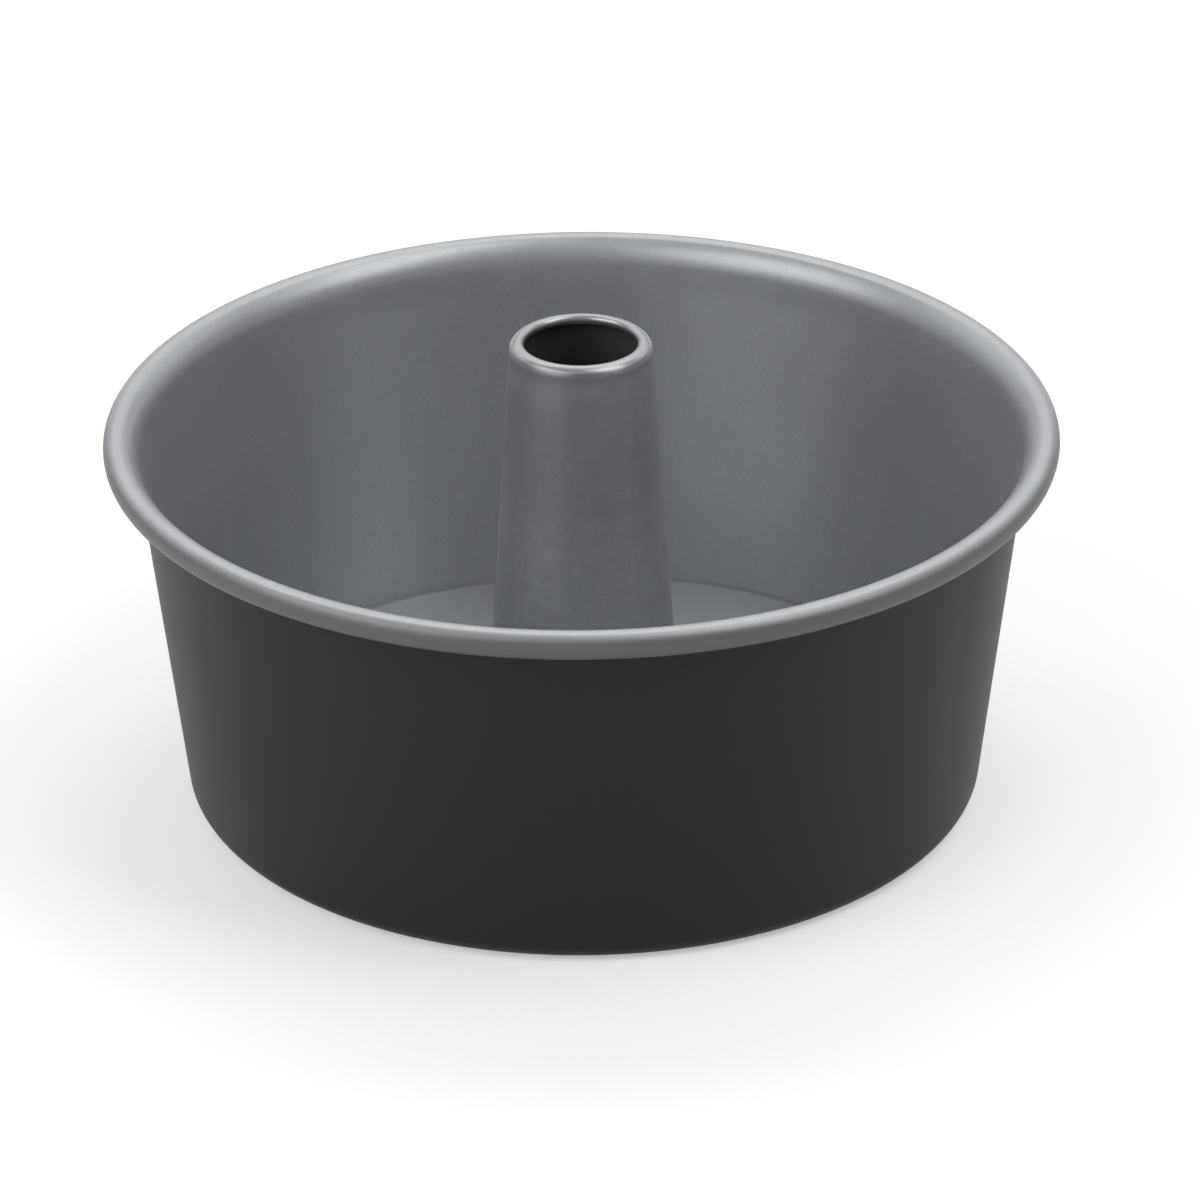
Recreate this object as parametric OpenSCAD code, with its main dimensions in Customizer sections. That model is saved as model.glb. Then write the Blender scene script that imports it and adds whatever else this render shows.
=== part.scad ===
// Two-piece angel food cake pan: a tapered round pan with a rolled rim, and a loose bottom
// that carries a tall tapered tube. Every piece is turned about the Z axis.
// The origin is on the table, at the centre of the ring that the pan stands on.

/* [Rim] */
// Outer diameter over the rolled rim
rim_d = 245; // [236:1:270]
// Height of the rim's top above the table
rim_h = 100.5; // [70:0.5:140]
// Thickness of the rolled rim
roll_d = 7.2; // [5:0.1:10]
// Gap between the roll and the line of the wall's outer face, at the middle of the roll
roll_standoff = 0.7; // [0.3:0.1:3]
// Radius of the flare that leads from the wall into the roll
flare_r = 10; // [8:0.5:16]
// Angle at which the edge of the roll ends, below the horizontal on the wall's side
roll_end_deg = 20; // [15:1:60]

/* [Wall and foot] */
// Thickness of the pan's sheet
pan_sheet = 1; // [0.6:0.1:1.4]
// Outer diameter that the straight wall would have at the table
base_d = 206.2; // [180:0.2:214]
// Outer radius of the bottom corner
corner_r = 5; // [3:0.5:12]
// Width of the flat ring that the pan stands on
foot_w = 2.5; // [1:0.5:8]
// Height of the ledge's top above the table
seat_h = 3.2; // [2.2:0.1:6]
// Width of the ledge that carries the loose bottom
seat_w = 8; // [4:0.5:16]
// Bend radius of the step up to the ledge, at the middle of the sheet
step_r = 1.5; // [1:0.1:2.5]
// Angle of the step
step_deg = 60; // [40:1:80]

/* [Rim wire] */
// Clearance all round the wire inside the roll
wire_gap = 0.1; // [0.05:0.05:0.5]

/* [Base plate] */
// Thickness of the base plate
plate_sheet = 1; // [0.6:0.1:1.6]
// Clearance between the plate's edge and the pan
plate_gap = 1; // [0.3:0.1:1.5]

/* [Centre tube] */
// Height of the tube's top above the table
tube_h = 123; // [90:0.5:160]
// Thickness of the tube's sheet
tube_sheet = 0.8; // [0.5:0.1:1]
// Outer diameter of the turned-in ring at the tube's top
lip_ring_d = 34.4; // [28:0.1:42]
// Thickness of that ring
lip_d = 2.7; // [2.4:0.1:4]
// How far the ring is set in from the tube's side
lip_inset = 1.2; // [0.5:0.1:1.6]
// Radius of the shoulder below the ring
shoulder_r = 3; // [3:0.5:10]
// Outer diameter that the tube's side would have at the table
tube_foot_d = 52.3; // [44:0.1:70]
// How far round the ring's edge is turned, from the tube's axis
lip_curl_deg = 250; // [200:1:270]
// Inner radius of the bend into the lock flange
lock_bend_r = 0.3; // [0.2:0.1:0.6]
// Width of the lock flange under the plate
lock_flange_w = 6; // [3:0.5:12]
// Bend radius of the lock bead above the plate, at the middle of the sheet
lock_bead_r = 1.3; // [1.1:0.1:2]
// Angle of each side of the lock bead
lock_bead_deg = 75; // [60:1:80]
// Clearance round the tube's foot in the plate's hole
lock_gap = 0.05; // [0.02:0.01:0.1]

/* [Hidden] */
$fn = 180;
coating_charcoal = "#3a3c3e";
coating_silver = "#8f9498";
bare_steel = "#b8bcc0";
right_deg = 90;
straight_deg = 180;
arc_step_deg = 7.5;
least_run = 0.02;

// A sheet's section is a path of straight runs and bends, drawn to the sheet's thickness.
// A place on it is [radius, height, heading in degrees]. A run is [0, length], and a bend is
// [turn, radius at the middle of the sheet], where a turn above 0 is anticlockwise.
function along(deg, length) = [length * cos(deg), length * sin(deg)];
function bend_sign(bend) = bend[0] > 0 ? 1 : -1;
function bend_centre(place, bend) =
    [place[0], place[1]] + along(place[2] + bend_sign(bend) * right_deg, bend[1]);
function on_bend(place, bend, share, radius) =
    bend_centre(place, bend)
    + along(place[2] - bend_sign(bend) * right_deg + share * bend[0], radius);
function run_end(place, run) = [place[0], place[1]] + along(place[2], run[1]);
function next_place(place, part) =
    let (end = part[0] == 0 ? run_end(place, part) : on_bend(place, part, 1, part[1]))
    [end[0], end[1], place[2] + part[0]];
function place_after(start, path, count) =
    count == 0 ? start : next_place(place_after(start, path, count - 1), path[count - 1]);

// The points of one face of the sheet: side is 1 for the face on the left of the path, else -1
function beside(place, side, sheet) =
    [place[0], place[1]] + along(place[2] + right_deg, side * sheet / 2);
function face_of_part(place, part, side, sheet) =
    let (steps = part[0] == 0 ? 1 : ceil(abs(part[0]) / arc_step_deg))
    part[0] == 0
    ? [beside(next_place(place, part), side, sheet)]
    : [for (i = [1:steps])
        on_bend(place, part, i / steps, part[1] - bend_sign(part) * side * sheet / 2)];
function face_points(start, path, side, sheet) =
    [beside(start, side, sheet), for (i = [0:len(path) - 1])
        each face_of_part(place_after(start, path, i), path[i], side, sheet)];
function backwards(points) = [for (i = [len(points) - 1:-1:0]) points[i]];

// The pan's wall, as the line of its outer face
rim_r = rim_d / 2;
roll_r = roll_d / 2;
roll_at = [rim_r - roll_r, rim_h - roll_r];
wall_lean = atan((rim_r - roll_d - roll_standoff - base_d / 2) / roll_at[1]);
function wall_outer_r(height) = base_d / 2 + height * tan(wall_lean);
wall_heading = right_deg - wall_lean;
corner_mid_r = corner_r - pan_sheet / 2;
corner_at = [wall_outer_r(corner_r) - corner_r / cos(wall_lean), corner_r];

// Where the flare meets the wall and the roll, from the roll's distance to the inner face
roll_to_face = (roll_at[0] - wall_outer_r(roll_at[1])) * cos(wall_lean) + pan_sheet;
flare_to_roll = flare_r - roll_r;
flare_rise = sqrt(pow(flare_to_roll, 2) - pow(flare_r - roll_to_face, 2));
flare_turn = atan2(flare_rise, flare_r - roll_to_face);
roll_turn = straight_deg - wall_lean - flare_turn + straight_deg - roll_end_deg;
roll_foot_on_wall = (roll_at[0] - corner_at[0]) * sin(wall_lean)
    + (roll_at[1] - corner_at[1]) * cos(wall_lean);
wall_run = roll_foot_on_wall - flare_rise;

// The step between the foot and the ledge
step_rise = seat_h - pan_sheet;
step_bend_r = min(step_r, step_rise / (2 - 2 * cos(step_deg)));
step_run = (step_rise - 2 * step_bend_r * (1 - cos(step_deg))) / sin(step_deg);
step_width = 2 * step_bend_r * sin(step_deg) + step_run * cos(step_deg);
ledge_inner_r = corner_at[0] - foot_w - step_width - seat_w;

// The loose bottom lies on the ledge and clears the corner, or the wall where the ledge is high
plate_top = seat_h + plate_sheet;
function corner_inner_r(height) =
    corner_at[0] + sqrt(pow(corner_r - pan_sheet, 2) - pow(corner_r - height, 2));
function wall_inner_r(height) = wall_outer_r(height) - pan_sheet / cos(wall_lean);
plate_r = (seat_h < corner_r ? corner_inner_r(seat_h) : wall_inner_r(seat_h)) - plate_gap;

// The tube's side, as the line of its outer face, and the turned-in ring on it
lip_r = lip_d / 2;
lip_at = [lip_ring_d / 2 - lip_r, tube_h - lip_r];
tube_lean = atan((tube_foot_d / 2 - lip_ring_d / 2 - lip_inset) / lip_at[1]);
function tube_outer_r(height) = tube_foot_d / 2 - height * tan(tube_lean);
lip_to_side = (tube_outer_r(lip_at[1]) - lip_at[0]) * cos(tube_lean);
shoulder_rise = sqrt(pow(shoulder_r - lip_r, 2) - pow(shoulder_r - lip_to_side, 2));
shoulder_turn = atan2(shoulder_rise, shoulder_r - lip_to_side);
lip_turn = lip_curl_deg - tube_lean - shoulder_turn;

// The foot of the tube: a bend up from the lock flange, and the lock bead above the plate
tube_heading = right_deg + tube_lean;
foot_bend_mid_r = lock_bend_r + tube_sheet / 2;
foot_bend_at = [tube_outer_r(seat_h + lock_bend_r) + lock_bend_r / cos(tube_lean), seat_h + lock_bend_r];
flange_r = foot_bend_at[0] + lock_flange_w;
plate_hole_r = foot_bend_at[0] + lock_gap;

// The bead's lower flank starts where it just clears the upper edge of the plate's hole
lock_flank_r = lock_bead_r - tube_sheet / 2;
lock_flank_rise = sqrt(pow(lock_flank_r, 2) - pow(lock_flank_r - lock_bend_r - lock_gap, 2));
lock_bead_start = max(least_run, plate_sheet + lock_gap - lock_flank_rise - lock_bend_r);
lock_bead_run = 4 * lock_bead_r * sin(lock_bead_deg);
lip_foot_on_side = (foot_bend_at[0] - lip_at[0]) * sin(tube_lean)
    + (lip_at[1] - foot_bend_at[1]) * cos(tube_lean);
tube_run = lip_foot_on_side - shoulder_rise - lock_bead_start - lock_bead_run;

// A sheet section, turned about the axis
module turned_sheet(start, path, sheet) {
    rotate_extrude()
        polygon(concat(face_points(start, path, 1, sheet),
            backwards(face_points(start, path, -1, sheet))));
}

// The wall with its ledge, foot, corner, flare and rolled rim: one drawn sheet
module pan_body() {
    color(coating_charcoal) turned_sheet(
        [ledge_inner_r, seat_h - pan_sheet / 2, 0],
        [
            [0, seat_w],
            [-step_deg, step_bend_r],
            [0, step_run],
            [step_deg, step_bend_r],
            [0, foot_w],
            [wall_heading, corner_mid_r],
            [0, wall_run],
            [-flare_turn, flare_r - pan_sheet / 2],
            [-roll_turn, roll_r - pan_sheet / 2],
        ],
        pan_sheet);
}

// The round wire that the rim is rolled over
module rim_wire() {
    color(bare_steel) rotate_extrude() translate(roll_at) circle(r = roll_r - pan_sheet - wire_gap);
}

// The loose bottom: a flat disc with a hole for the tube's foot
module base_plate() {
    color(coating_silver) translate([0, 0, seat_h]) difference() {
        cylinder(r = plate_r, h = plate_sheet);
        translate([0, 0, -plate_sheet]) cylinder(r = plate_hole_r, h = 3 * plate_sheet);
    }
}

// The tapered tube with its turned-in top ring, and the flange and bead that grip the plate
module centre_tube() {
    color(coating_silver) turned_sheet(
        [flange_r, seat_h - tube_sheet / 2, straight_deg],
        [
            [0, lock_flange_w],
            [tube_lean - right_deg, foot_bend_mid_r],
            [0, lock_bead_start],
            [-lock_bead_deg, lock_bead_r],
            [2 * lock_bead_deg, lock_bead_r],
            [-lock_bead_deg, lock_bead_r],
            [0, tube_run],
            [shoulder_turn, shoulder_r - tube_sheet / 2],
            [lip_turn, lip_r - tube_sheet / 2],
        ],
        tube_sheet);
}

pan_body();
rim_wire();
base_plate();
centre_tube();
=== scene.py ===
# Two-piece angel food cake pan: a drawn wall with a rolled rim, and a loose bottom with its tube.
from math import atan2, ceil, copysign, cos, pi, radians, sin, sqrt, tan

import bpy
from mathutils import Matrix, Vector


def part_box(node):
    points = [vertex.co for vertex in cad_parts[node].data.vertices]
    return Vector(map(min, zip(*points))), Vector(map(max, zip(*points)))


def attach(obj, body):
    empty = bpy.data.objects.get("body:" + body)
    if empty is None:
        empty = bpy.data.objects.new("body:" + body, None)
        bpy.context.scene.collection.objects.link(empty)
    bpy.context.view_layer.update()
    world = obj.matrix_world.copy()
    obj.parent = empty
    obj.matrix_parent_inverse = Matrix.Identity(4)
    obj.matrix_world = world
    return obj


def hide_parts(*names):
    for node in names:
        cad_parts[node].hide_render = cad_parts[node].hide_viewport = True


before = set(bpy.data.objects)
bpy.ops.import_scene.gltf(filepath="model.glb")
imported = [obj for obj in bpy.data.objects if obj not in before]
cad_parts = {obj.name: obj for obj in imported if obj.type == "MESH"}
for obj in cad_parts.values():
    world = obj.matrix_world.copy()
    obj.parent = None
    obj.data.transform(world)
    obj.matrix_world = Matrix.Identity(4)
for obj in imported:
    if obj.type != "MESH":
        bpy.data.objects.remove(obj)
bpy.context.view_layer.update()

# Camera: it looks down on the pan from in front, with a long lens and nearly no perspective.
# The small turn, pitch and roll set the pan in the picture as the photographer framed it.
view_centre = Vector((0, 0, 0.06))
view_distance = 1.7
view_elevation = radians(26.56)
view_turn = radians(0.167)
view_pitch = radians(0.341)
view_roll = radians(-0.426)
sensor_width_mm = 36
picture_width_px = 1200
focal_length_px = 6564

camera_data = bpy.data.cameras.new("camera")
camera_data.sensor_width = sensor_width_mm
camera_data.lens = sensor_width_mm * focal_length_px / picture_width_px
camera = bpy.data.objects.new("camera", camera_data)
bpy.context.scene.collection.objects.link(camera)
eye = view_centre + view_distance * Vector((0, -cos(view_elevation), sin(view_elevation)))
camera.matrix_world = (
    Matrix.Translation(eye)
    @ Matrix.Rotation(-view_turn, 4, "Z")
    @ Matrix.Rotation(pi / 2 - view_elevation - view_pitch, 4, "X")
    @ Matrix.Rotation(view_roll, 4, "Z")
)
bpy.context.scene.camera = camera


# Studio: a wide white table that runs on as its own backdrop. The camera and the glossy coats see
# it white, and it still takes the pan's soft shadow.
table_size = 40.0
table_drop = 0.0002
table_white = (0.55, 0.55, 0.55, 1)
table_glow = 0.4

table_mesh = bpy.data.meshes.new("table")
half = table_size / 2
table_mesh.from_pydata(
    [(-half, -half, -table_drop), (half, -half, -table_drop),
     (half, half, -table_drop), (-half, half, -table_drop)],
    [], [(0, 1, 2, 3)],
)
table = bpy.data.objects.new("table", table_mesh)
bpy.context.scene.collection.objects.link(table)


def new_material(name):
    """An empty node material, and its node tree."""
    material = bpy.data.materials.new(name)
    material.use_nodes = True
    material.node_tree.nodes.clear()
    return material, material.node_tree


def add_node(tree, kind, inputs=None, **settings):
    """A node with its settings and its input values or links."""
    node = tree.nodes.new(kind)
    for key, value in settings.items():
        setattr(node, key, value)
    for key, value in (inputs or {}).items():
        if isinstance(value, bpy.types.NodeSocket):
            tree.links.new(value, node.inputs[key])
        else:
            node.inputs[key].default_value = value
    return node


def maths(tree, operation, a, b=0.0):
    """One step of arithmetic on numbers or sockets, as a socket."""
    return add_node(tree, "ShaderNodeMath", {0: a, 1: b}, operation=operation).outputs[0]


def seen_directly(tree):
    """1 for rays from the camera and from glossy or clear surfaces, and 0 for soft light."""
    path = add_node(tree, "ShaderNodeLightPath").outputs
    shiny = maths(tree, "MAXIMUM", path["Is Camera Ray"], path["Is Glossy Ray"])
    return maths(tree, "MAXIMUM", shiny, path["Is Transmission Ray"])


def table_material():
    """Matt white, with the rest of the white added as a glow for the rays that see it."""
    material, tree = new_material("table_white")
    matt = add_node(tree, "ShaderNodeBsdfDiffuse", {"Color": table_white})
    glow = add_node(tree, "ShaderNodeEmission",
                    {"Strength": maths(tree, "MULTIPLY", seen_directly(tree), table_glow)})
    both = add_node(tree, "ShaderNodeAddShader", {0: matt.outputs[0], 1: glow.outputs[0]})
    add_node(tree, "ShaderNodeOutputMaterial", {"Surface": both.outputs[0]})
    return material


table_mesh.materials.append(table_material())

# Light: a grey room that pales to a white horizon, and four soft boxes round the table. A tall one
# stands on the left of the camera and one on its right, and a wide and a high one hang behind the
# pan. They draw the bright band on the rim and the streaks on the tube and its ring.
room_grey = (0.3, 0.3, 0.3, 1)
room_white = (1, 1, 1, 1)
horizon_low = sin(radians(3))
horizon_high = sin(radians(8))

world = bpy.data.worlds.new("room")
world.use_nodes = True
world.node_tree.nodes.clear()
direction = add_node(world.node_tree, "ShaderNodeTexCoord")
split = add_node(world.node_tree, "ShaderNodeSeparateXYZ", {0: direction.outputs["Generated"]})
room_ramp = add_node(world.node_tree, "ShaderNodeValToRGB", {"Fac": split.outputs["Z"]})
room_ramp.color_ramp.elements[0].position = horizon_low
room_ramp.color_ramp.elements[0].color = room_white
room_ramp.color_ramp.elements[1].position = horizon_high
room_ramp.color_ramp.elements[1].color = room_grey
room_light = add_node(world.node_tree, "ShaderNodeBackground", {"Color": room_ramp.outputs["Color"]})
add_node(world.node_tree, "ShaderNodeOutputWorld", {"Surface": room_light.outputs[0]})
bpy.context.scene.world = world
lamp_distance = 2.2


def soft_box(name, azimuth, elevation, across, up, brightness):
    """A square lamp turned to the pan. Its place and its spread are the degrees that it takes up
    as the pan sees it: azimuth 0 is the camera's side, and 90 is on its right."""
    width = 2 * lamp_distance * tan(radians(across) / 2)
    height = 2 * lamp_distance * tan(radians(up) / 2)
    data = bpy.data.lights.new(name, "AREA")
    data.shape = "RECTANGLE"
    data.size = width
    data.size_y = height
    data.energy = brightness * pi * width * height
    lamp = bpy.data.objects.new(name, data)
    bpy.context.scene.collection.objects.link(lamp)
    lamp.matrix_world = (
        Matrix.Translation(view_centre)
        @ Matrix.Rotation(radians(azimuth), 4, "Z")
        @ Matrix.Rotation(pi / 2 - radians(elevation), 4, "X")
        @ Matrix.Translation((0, 0, lamp_distance))
    )
    lamp.visible_camera = False


soft_box("soft_box_left", azimuth=-55, elevation=36, across=50, up=38, brightness=2.7)
soft_box("soft_box_right", azimuth=68, elevation=54, across=27, up=48, brightness=3.4)
soft_box("soft_box_behind", azimuth=180, elevation=40, across=120, up=40, brightness=1.15)
soft_box("soft_box_high", azimuth=180, elevation=67, across=60, up=18, brightness=2.5)
bpy.context.scene.view_settings.view_transform = "Standard"

# Pan body: one deep-drawn steel sheet, coated silver inside and charcoal outside. Its foot steps
# in to a ledge for the loose bottom, and its edge is flared and rolled out and down over a wire.
_, pan_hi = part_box("pan_body")
wire_lo, wire_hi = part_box("rim_wire")
plate_lo, plate_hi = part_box("base_plate")
pan_sheet = 0.001
wall_foot_r = 0.1031
flare_r = 0.010
roll_end = radians(20)
corner_r = 0.005
foot_width = 0.0025
ledge_width = 0.008
step_bend_r = 0.0015
step_angle = radians(60)
bend_step = radians(6)
run_step = 0.004
turns_round = 288
cut_edge_bevel = 0.00012


def middle_line(radius, height, heading, path):
    """Points along the middle of a sheet's section. A part of the path is (0, length) for a
    straight run, or (turn, bend radius), where a turn above 0 is anticlockwise."""
    place = Vector((radius, height))
    points = [place]
    for turn, size in path:
        if turn == 0:
            steps = ceil(size / run_step)
            step = Vector((cos(heading), sin(heading))) * size / steps
            points += [place + step * i for i in range(1, steps + 1)]
        else:
            across = Vector((-sin(heading), cos(heading))) * copysign(size, turn)
            steps = ceil(abs(turn) / bend_step)
            points += [place + across - Matrix.Rotation(turn * i / steps, 2) @ across
                       for i in range(1, steps + 1)]
            heading += turn
        place = points[-1]
    return points


def turned_sheet_tree():
    """Geometry nodes that turn a middle line about Z, give it the sheet's thickness and coat the
    face on the left of the line, the face on its right and the cut edges."""
    tree = bpy.data.node_groups.new("turned_sheet", "GeometryNodeTree")
    sockets = tree.interface
    sockets.new_socket("Geometry", in_out="OUTPUT", socket_type="NodeSocketGeometry")
    sockets.new_socket("Middle line", in_out="INPUT", socket_type="NodeSocketGeometry")
    sockets.new_socket("Sheet thickness", in_out="INPUT", socket_type="NodeSocketFloat")
    sockets.new_socket("Steps round", in_out="INPUT", socket_type="NodeSocketInt")
    for face in ("Left face", "Right face", "Cut edge"):
        sockets.new_socket(face, in_out="INPUT", socket_type="NodeSocketMaterial")
    given = add_node(tree, "NodeGroupInput").outputs
    line_size = add_node(tree, "GeometryNodeAttributeDomainSize", {0: given["Middle line"]})
    line_points = line_size.outputs["Point Count"]
    columns = maths(tree, "ADD", given["Steps round"], 1)
    grid = add_node(tree, "GeometryNodeMeshGrid", {"Vertices X": line_points, "Vertices Y": columns})
    index = add_node(tree, "GeometryNodeInputIndex").outputs[0]
    row = maths(tree, "FLOOR", maths(tree, "DIVIDE", maths(tree, "ADD", index, 0.5), columns))
    column = maths(tree, "SUBTRACT", index, maths(tree, "MULTIPLY", row, columns))
    turn = maths(tree, "MULTIPLY", maths(tree, "DIVIDE", column, given["Steps round"]), 2 * pi)
    place = add_node(tree, "GeometryNodeInputPosition").outputs[0]
    on_line = add_node(tree, "GeometryNodeSampleIndex",
                       {"Geometry": given["Middle line"], "Value": place, "Index": row},
                       data_type="FLOAT_VECTOR")
    turned = add_node(tree, "ShaderNodeVectorRotate",
                      {"Vector": on_line.outputs[0], "Angle": turn}, rotation_type="Z_AXIS")
    surface = add_node(tree, "GeometryNodeSetPosition",
                       {"Geometry": grid.outputs["Mesh"], "Position": turned.outputs[0]})
    closed = add_node(tree, "GeometryNodeMergeByDistance",
                      {"Geometry": surface.outputs[0], "Distance": 1e-6})
    normal = add_node(tree, "GeometryNodeInputNormal").outputs[0]
    half_sheet = maths(tree, "MULTIPLY", given["Sheet thickness"], -0.5)
    half_back = add_node(tree, "ShaderNodeVectorMath", {0: normal, "Scale": half_sheet},
                         operation="SCALE")
    back = add_node(tree, "GeometryNodeSetPosition",
                    {"Geometry": closed.outputs[0], "Offset": half_back.outputs[0]})
    raised = add_node(tree, "GeometryNodeExtrudeMesh",
                      {"Mesh": back.outputs[0], "Offset Scale": given["Sheet thickness"],
                       "Individual": False})
    flipped = add_node(tree, "GeometryNodeFlipFaces", {0: back.outputs[0]})
    both = add_node(tree, "GeometryNodeJoinGeometry")
    tree.links.new(raised.outputs["Mesh"], both.inputs[0])
    tree.links.new(flipped.outputs[0], both.inputs[0])
    sealed = add_node(tree, "GeometryNodeMergeByDistance",
                      {"Geometry": both.outputs[0], "Distance": 1e-6})
    smooth = add_node(tree, "GeometryNodeSetShadeSmooth", {"Geometry": sealed.outputs[0]})
    shape = add_node(tree, "GeometryNodeRealizeInstances", {0: smooth.outputs[0]})
    right = add_node(tree, "GeometryNodeSetMaterial",
                     {"Geometry": shape.outputs[0], "Material": given["Right face"]})
    left = add_node(tree, "GeometryNodeSetMaterial",
                    {"Geometry": right.outputs[0], "Selection": raised.outputs["Top"],
                     "Material": given["Left face"]})
    edge = add_node(tree, "GeometryNodeSetMaterial",
                    {"Geometry": left.outputs[0], "Selection": raised.outputs["Side"],
                     "Material": given["Cut edge"]})
    add_node(tree, "NodeGroupOutput", {"Geometry": edge.outputs[0]})
    return tree


turned_sheet = turned_sheet_tree()


def make_sheet_piece(name, line, thickness, left_face, right_face, cut_edge):
    """A plain mesh of a turned and coated sheet, with its cut edges broken."""
    mesh = bpy.data.meshes.new(name)
    mesh.from_pydata([(r, 0, z) for r, z in line], [(i, i + 1) for i in range(len(line) - 1)], [])
    piece = bpy.data.objects.new(name, mesh)
    bpy.context.scene.collection.objects.link(piece)
    turning = piece.modifiers.new("turning", "NODES")
    turning.node_group = turned_sheet
    given = {"Sheet thickness": thickness, "Steps round": turns_round, "Left face": left_face,
             "Right face": right_face, "Cut edge": cut_edge}
    for socket in turned_sheet.interface.items_tree:
        if socket.name in given:
            turning[socket.identifier] = given[socket.name]
    deburring = piece.modifiers.new("deburring", "BEVEL")
    deburring.width = cut_edge_bevel
    deburring.segments = 3
    deburring.limit_method = "ANGLE"
    deburring.angle_limit = radians(60)
    deburring.harden_normals = True
    solid = piece.evaluated_get(bpy.context.evaluated_depsgraph_get())
    piece.data = bpy.data.meshes.new_from_object(solid)
    piece.data.name = name
    piece.modifiers.clear()
    return piece


def object_place(tree):
    """The place of a point on its piece, as a socket."""
    return add_node(tree, "ShaderNodeTexCoord").outputs["Object"]


def noise_between(tree, place, scale, detail, low, high):
    """A noise that runs from the low to the high value, as a socket."""
    noise = add_node(tree, "ShaderNodeTexNoise", {"Vector": place, "Scale": scale, "Detail": detail})
    spread = add_node(tree, "ShaderNodeMapRange",
                      {"Value": noise.outputs["Fac"], "From Min": 0.3, "From Max": 0.7,
                       "To Min": low, "To Max": high})
    return spread.outputs[0]


peel_scale = 700
cloud_scale = 18
cloud_spread = 0.03


def sprayed_coat(name, colour, metallic, roughness, marks, grain, shiny=None):
    """A sprayed satin coat with an orange peel of the given grain. Each mark is (stretch, scale,
    contrast): a noise that lightens and darkens the coat. The shiny values are shader constants."""
    material, tree = new_material(name)
    place = object_place(tree)
    light = 1.0
    for stretch, scale, contrast in marks:
        drawn = add_node(tree, "ShaderNodeVectorMath", {0: place, 1: stretch}, operation="MULTIPLY")
        mark = noise_between(tree, drawn.outputs[0], scale, 2, 1 - contrast, 1 + contrast)
        light = maths(tree, "MULTIPLY", light, mark)
    shade = add_node(tree, "ShaderNodeVectorMath", {0: colour, "Scale": light}, operation="SCALE")
    rough = noise_between(tree, place, cloud_scale, 3, roughness - cloud_spread,
                          roughness + cloud_spread)
    peel = add_node(tree, "ShaderNodeTexNoise", {"Vector": place, "Scale": peel_scale, "Detail": 2})
    bump = add_node(tree, "ShaderNodeBump", {"Height": peel.outputs["Fac"], "Distance": grain})
    coat = add_node(tree, "ShaderNodeBsdfPrincipled",
                    {"Base Color": shade.outputs[0], "Metallic": metallic, "Roughness": rough,
                     "Normal": bump.outputs[0], **(shiny or {})})
    add_node(tree, "ShaderNodeOutputMaterial", {"Surface": coat.outputs[0]})
    return material


def shader_of(material):
    """The shader node that a coat is made with."""
    return next(node for node in material.node_tree.nodes if node.type == "BSDF_PRINCIPLED")


def blend_in(material, share, changes):
    """Changes a coat's values where the share of 0 to 1, a socket of its tree, is high."""
    tree = material.node_tree
    for name, value in changes.items():
        socket = shader_of(material).inputs[name]
        colour = socket.type == "RGBA"
        linked = [link.from_socket for link in socket.links]
        before = linked[0] if linked else socket.default_value
        mix = add_node(tree, "ShaderNodeMix", data_type="RGBA" if colour else "FLOAT")
        ends = [at for at in mix.inputs if at.enabled and at.name in ("A", "B")]
        tree.links.new(share, mix.inputs["Factor"])
        for end, content in zip(ends, (before, value)):
            if isinstance(content, bpy.types.NodeSocket):
                tree.links.new(content, end)
            else:
                end.default_value = content
        result = next(at for at in mix.outputs if at.enabled)
        tree.links.new(result, socket)


def share_by_height(material, none_at, all_at, most=1.0):
    """A share that goes from 0 at one height to the most at another, as a socket."""
    tree = material.node_tree
    split = add_node(tree, "ShaderNodeSeparateXYZ", {0: object_place(tree)})
    share = add_node(tree, "ShaderNodeMapRange",
                     {"Value": split.outputs["Z"], "From Min": none_at, "From Max": all_at,
                      "To Max": most}, interpolation_type="SMOOTHSTEP")
    return share.outputs[0]


quarter_turn = 0.25
brushed = {"Anisotropic": 0.7, "Roughness": 0.36, "Coat Weight": 0.0}


def add_spin_lines(material, none_at, all_at):
    """Fine lines round the axis under a coat, from the drawing or spinning of the sheet. They
    stretch its gloss up and down, and come in between two heights."""
    around = add_node(material.node_tree, "ShaderNodeTangent", direction_type="RADIAL", axis="Z")
    shader = shader_of(material)
    material.node_tree.links.new(around.outputs[0], shader.inputs["Tangent"])
    shader.inputs["Anisotropic Rotation"].default_value = quarter_turn
    blend_in(material, share_by_height(material, none_at, all_at), brushed)


# The path of the wall's section, from the ledge out to the foot, up the wall and round the roll
rim_r = pan_hi.x
wire_r = (wire_hi.z - wire_lo.z) / 2
roll_at = Vector((wire_hi.x - wire_r, (wire_hi.z + wire_lo.z) / 2))
roll_r = rim_r - roll_at.x
seat_height = plate_lo.z
roll_standoff = 0.0007
wall_lean = atan2(rim_r - 2 * roll_r - roll_standoff - wall_foot_r, roll_at.y)
corner_at = Vector((wall_foot_r + corner_r * tan(wall_lean) - corner_r / cos(wall_lean), corner_r))
roll_face_gap = (roll_at.x - wall_foot_r - roll_at.y * tan(wall_lean)) * cos(wall_lean) + pan_sheet
flare_rise = sqrt((flare_r - roll_r) ** 2 - (flare_r - roll_face_gap) ** 2)
flare_turn = atan2(flare_rise, flare_r - roll_face_gap)
wall_run = ((roll_at - corner_at).x * sin(wall_lean)
            + (roll_at - corner_at).y * cos(wall_lean) - flare_rise)
step_rise = seat_height - pan_sheet
step_run = (step_rise - 2 * step_bend_r * (1 - cos(step_angle))) / sin(step_angle)
step_width = 2 * step_bend_r * sin(step_angle) + step_run * cos(step_angle)
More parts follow.
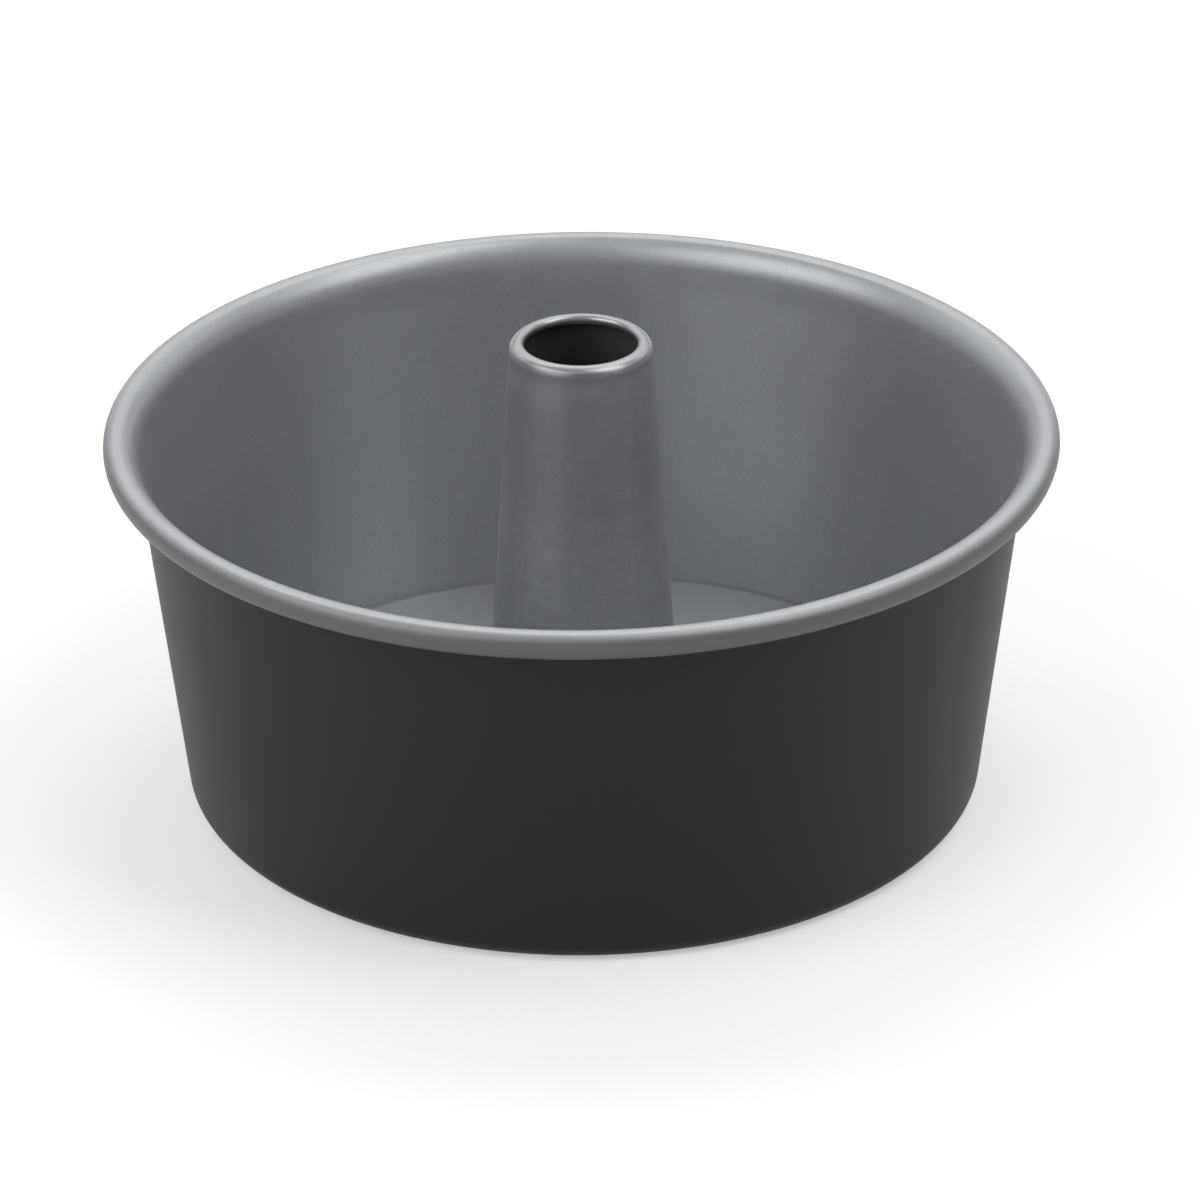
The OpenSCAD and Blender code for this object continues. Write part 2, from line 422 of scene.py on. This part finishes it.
pan_line = middle_line(
    corner_at.x - foot_width - step_width - ledge_width, seat_height - pan_sheet / 2, 0,
    [
        (0, ledge_width),
        (-step_angle, step_bend_r),
        (0, step_run),
        (step_angle, step_bend_r),
        (0, foot_width),
        (pi / 2 - wall_lean, corner_r - pan_sheet / 2),
        (0, wall_run),
        (-flare_turn, flare_r - pan_sheet / 2),
        (-(2 * pi - wall_lean - flare_turn - roll_end), roll_r - pan_sheet / 2),
    ])


# Painted shade on the roll's lower side: below these angles round the roll, the silver is blended to
# a dark, dull grey.
roll_shade_none_at = radians(75)
roll_shade_full_at = radians(25)
roll_underside_shade = {"Base Color": (0.100, 0.103, 0.107, 1), "Metallic": 0.0, "Coat Weight": 0.0}


def paint_shade_below_roll(material):
    """Paints shade on the lower side of the roll, where the silver turns dark grey and dull."""
    tree = material.node_tree
    split = add_node(tree, "ShaderNodeSeparateXYZ", {0: object_place(tree)}).outputs
    squares = maths(tree, "ADD", maths(tree, "POWER", split["X"], 2),
                    maths(tree, "POWER", split["Y"], 2))
    out = maths(tree, "SUBTRACT", maths(tree, "SQRT", squares), roll_at.x)
    up = maths(tree, "SUBTRACT", split["Z"], roll_at.y)
    around = add_node(tree, "ShaderNodeMapRange",
                      {"Value": maths(tree, "ARCTAN2", up, out), "From Min": roll_shade_none_at,
                       "From Max": roll_shade_full_at}, interpolation_type="SMOOTHSTEP")
    on_the_roll = maths(tree, "GREATER_THAN", out, -roll_r)
    blend_in(material, maths(tree, "MULTIPLY", around.outputs[0], on_the_roll), roll_underside_shade)


silver_colour = (0.328, 0.340, 0.362)
satin_clear = {"Coat Weight": 0.5, "Coat Roughness": 0.2}
silver_grain = 0.000006
fine_flecks = ((1, 1, 1), 1400, 0.05)
soft_clouds = ((1, 1, 1), 18, 0.03)


def silver_coat(name, marks):
    """The satin silver coat of the pan's inner side."""
    return sprayed_coat(name, silver_colour, 0.6, 0.45, [fine_flecks] + marks, silver_grain,
                        satin_clear)


matt_dark = {"Specular IOR Level": 0.25}
charcoal_grain = 0.000005


def charcoal_coat(name, colour):
    """The matt charcoal coat of the pan's outer side."""
    return sprayed_coat(name, colour, 0.0, 0.5, [fine_flecks, soft_clouds], charcoal_grain, matt_dark)


drawing_streaks = ((1, 1, 0.12), 90, 0.02)
charcoal_colour = (0.0100, 0.0112, 0.0116)
bare_steel = (0.55, 0.56, 0.57)
cut_grain = 0.000006
spin_lines_end = roll_at.y - 0.003
spin_lines_full = roll_at.y - 0.013
pan_silver = silver_coat("pan_silver", [soft_clouds, drawing_streaks])
add_spin_lines(pan_silver, spin_lines_end, spin_lines_full)
# Painted shade on the lower side of the roll.
paint_shade_below_roll(pan_silver)
charcoal = charcoal_coat("charcoal", charcoal_colour)
bare_edge = sprayed_coat("bare_edge", bare_steel, 1.0, 0.45, [fine_flecks], cut_grain)
pan_body = make_sheet_piece("drawn_pan", pan_line, pan_sheet, pan_silver, charcoal, bare_edge)
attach(pan_body, "pan")
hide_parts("pan_body")

# Rim wire: a ring of round steel wire that the roll closes over. Nothing of it shows, but it
# keeps the rim round, and it has the grey drawn finish of plain wire.
wire_colour = (0.6, 0.61, 0.62)
wire_grain = 0.000004
wire_steel = sprayed_coat("drawn_wire", wire_colour, 1.0, 0.35, [fine_flecks], wire_grain)
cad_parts["rim_wire"].data.materials.clear()
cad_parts["rim_wire"].data.materials.append(wire_steel)

# Base plate: the loose bottom, a flat disc blanked from coated sheet, silver side up. It lies on
# the pan's ledge, and a hole in its middle takes the tube's foot.
tube_lo, tube_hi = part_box("centre_tube")
plate_sheet = plate_hi.z - plate_lo.z
plate_r = plate_hi.x
tube_sheet = plate_lo.z - tube_lo.z
lock_bend_r = 0.0003
lock_gap = 0.00005
lock_flange = 0.006
plate_hole_r = tube_hi.x - lock_flange + lock_gap
plate_line = middle_line(plate_hole_r, plate_lo.z + plate_sheet / 2, 0, [(0, plate_r - plate_hole_r)])
plate_silver = silver_coat("plate_silver", [soft_clouds])
base_plate = make_sheet_piece("loose_bottom", plate_line, plate_sheet, plate_silver, charcoal,
                              bare_edge)
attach(base_plate, "insert")
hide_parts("base_plate")

# Centre tube: a tapered tube spun from the same sheet, silver outside. A flange below the plate
# and a swaged bead above it lock its foot, and its top is curled in to a smooth ring.
tube_foot_r = 0.02615
lip_r = 0.00135
ring_r = 0.0172
lip_at = Vector((ring_r - lip_r, tube_hi.z - lip_r))
lip_inset = 0.0012
lip_curl = radians(250)
shoulder_r = 0.003
lock_bead_r = 0.0013
lock_bead_angle = radians(75)

tube_lean = atan2(tube_foot_r - lip_at.x - lip_r - lip_inset, lip_at.y)
side_gap = (tube_foot_r - lip_at.y * tan(tube_lean) - lip_at.x) * cos(tube_lean)
shoulder_rise = sqrt((shoulder_r - lip_r) ** 2 - (shoulder_r - side_gap) ** 2)
shoulder_turn = atan2(shoulder_rise, shoulder_r - side_gap)
foot_bend_at = Vector((plate_hole_r - lock_gap, plate_lo.z + lock_bend_r))
flank_r = lock_bead_r - tube_sheet / 2
flank_rise = sqrt(flank_r ** 2 - (flank_r - lock_bend_r - lock_gap) ** 2)
bead_start = plate_sheet + lock_gap - flank_rise - lock_bend_r
bead_run = 4 * lock_bead_r * sin(lock_bead_angle)
tube_run = ((foot_bend_at - lip_at).x * sin(tube_lean) + (lip_at - foot_bend_at).y * cos(tube_lean)
            - shoulder_rise - bead_start - bead_run)
tube_line = middle_line(
    tube_hi.x, plate_lo.z - tube_sheet / 2, pi,
    [
        (0, lock_flange),
        (tube_lean - pi / 2, lock_bend_r + tube_sheet / 2),
        (0, bead_start),
        (-lock_bead_angle, lock_bead_r),
        (2 * lock_bead_angle, lock_bead_r),
        (-lock_bead_angle, lock_bead_r),
        (0, tube_run),
        (shoulder_turn, shoulder_r - tube_sheet / 2),
        (lip_curl - tube_lean - shoulder_turn, lip_r - tube_sheet / 2),
    ])

# Painted shade darkens the tube's silver towards its top and at its shoulder. The curling tool
# has pressed the ring smooth, so it shines.
mottling = ((1, 1, 1), 260, 0.05)
spin_marks = ((0.03, 0.03, 1), 500, 0.02)
upright_streaks = ((1, 1, 0.06), 160, 0.03)
bore_charcoal = (0.055, 0.055, 0.054)
painted_tube_shade = {"Base Color": (0.130, 0.132, 0.138, 1)}
pressed_ring = {"Base Color": (0.285, 0.294, 0.310, 1), "Metallic": 0.8, "Roughness": 0.36,
                "Coat Weight": 0.7}
darkens_from = 0.055
darkens_to = 0.118
shoulder_low = lip_at.y - 0.005
shoulder_high = lip_at.y - 0.001
ring_low = lip_at.y - 0.0002
ring_high = lip_at.y + 0.0006
ring_lines_full = lip_at.y - 0.0004
tube_silver = silver_coat("tube_silver", [mottling, spin_marks, upright_streaks])
add_spin_lines(tube_silver, ring_high, ring_lines_full)
# Painted shade: the tube's silver is blended darker towards its top and at its shoulder.
blend_in(tube_silver, share_by_height(tube_silver, darkens_from, darkens_to, 0.45), painted_tube_shade)
blend_in(tube_silver, share_by_height(tube_silver, shoulder_low, shoulder_high, 0.6), painted_tube_shade)
blend_in(tube_silver, share_by_height(tube_silver, ring_low, ring_high), pressed_ring)
tube_charcoal = charcoal_coat("tube_charcoal", bore_charcoal)
centre_tube = make_sheet_piece("spun_tube", tube_line, tube_sheet, tube_charcoal, tube_silver,
                               bare_edge)
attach(centre_tube, "insert")
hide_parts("centre_tube")
